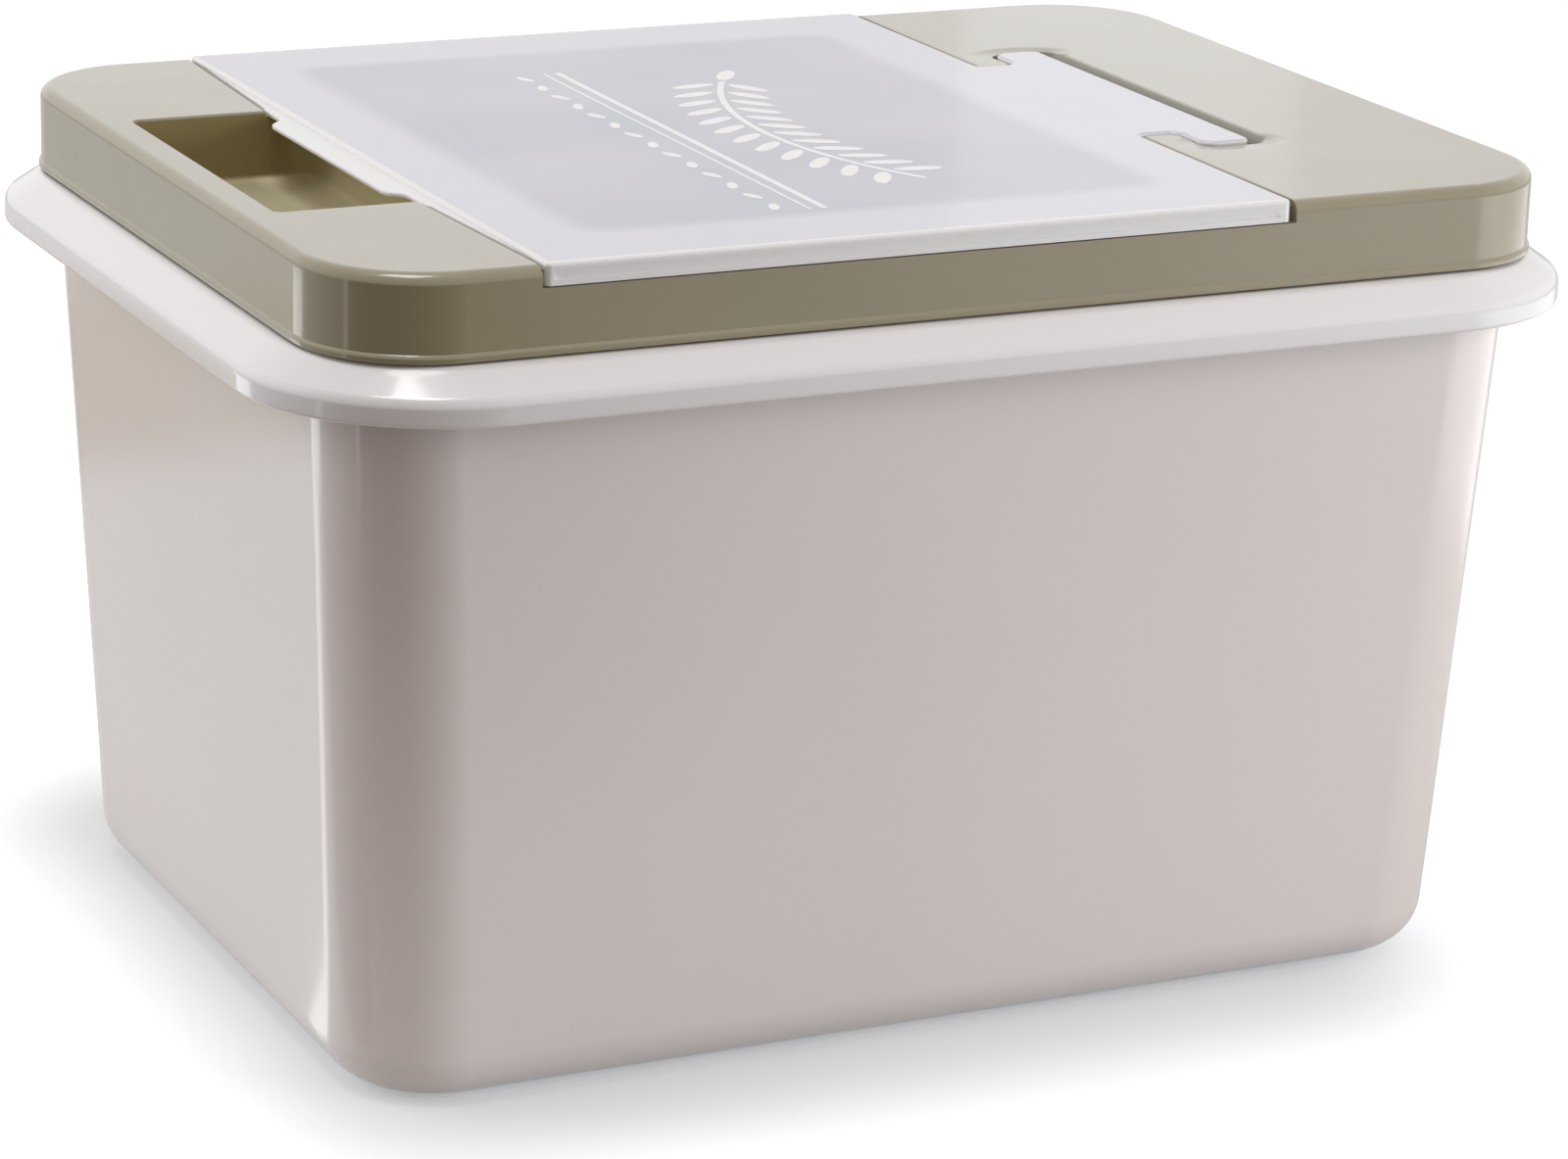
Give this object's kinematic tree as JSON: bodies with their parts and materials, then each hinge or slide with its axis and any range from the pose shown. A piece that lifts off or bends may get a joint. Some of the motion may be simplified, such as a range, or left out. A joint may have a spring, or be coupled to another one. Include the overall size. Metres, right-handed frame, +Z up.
{
  "type": "rice bin",
  "caption": "Rectangular grain bin: a drafted tub with a carrying flange, a push-on lid with a finger well, a clear hinged flap over a scoop opening, and a measuring cup.",
  "frame": {"origin": "on the table, under the middle of the tub", "axes": "+X along the bin towards the flap's hinge, +Y across it, +Z up; the flap opens from the -X end"},
  "size_m": [0.36, 0.271, 0.2151],
  "materials": {
    "tub": "milky natural polypropylene, satin",
    "lid": "taupe polypropylene, glossy",
    "flap": "frosted clear polypropylene, satin top with a white print",
    "seal": "white silicone, matt",
    "cup": "frosted polypropylene"
  },
  "bodies": {
    "tub": {"tub": "tub"},
    "lid": {"lid": "lid"},
    "flap": {"flap": "flap", "flap_seal": "seal"},
    "measuring_cup": {"measuring_cup": "cup"}
  },
  "joints": [
    {"name": "lid_lift", "type": "slide", "parent": "tub", "child": "lid", "axis": [0, 0, 1], "range_m": [0, 0.06]},
    {"name": "flap_hinge", "type": "hinge", "parent": "lid", "child": "flap", "pos_m": [0.103, 0, 0.2099], "axis": [0, 1, 0], "range_deg": [0, 110]},
    {"name": "cup_lift", "type": "slide", "parent": "tub", "child": "measuring_cup", "axis": [0, 0, 1], "range_m": [0, 0.12]}
  ]
}
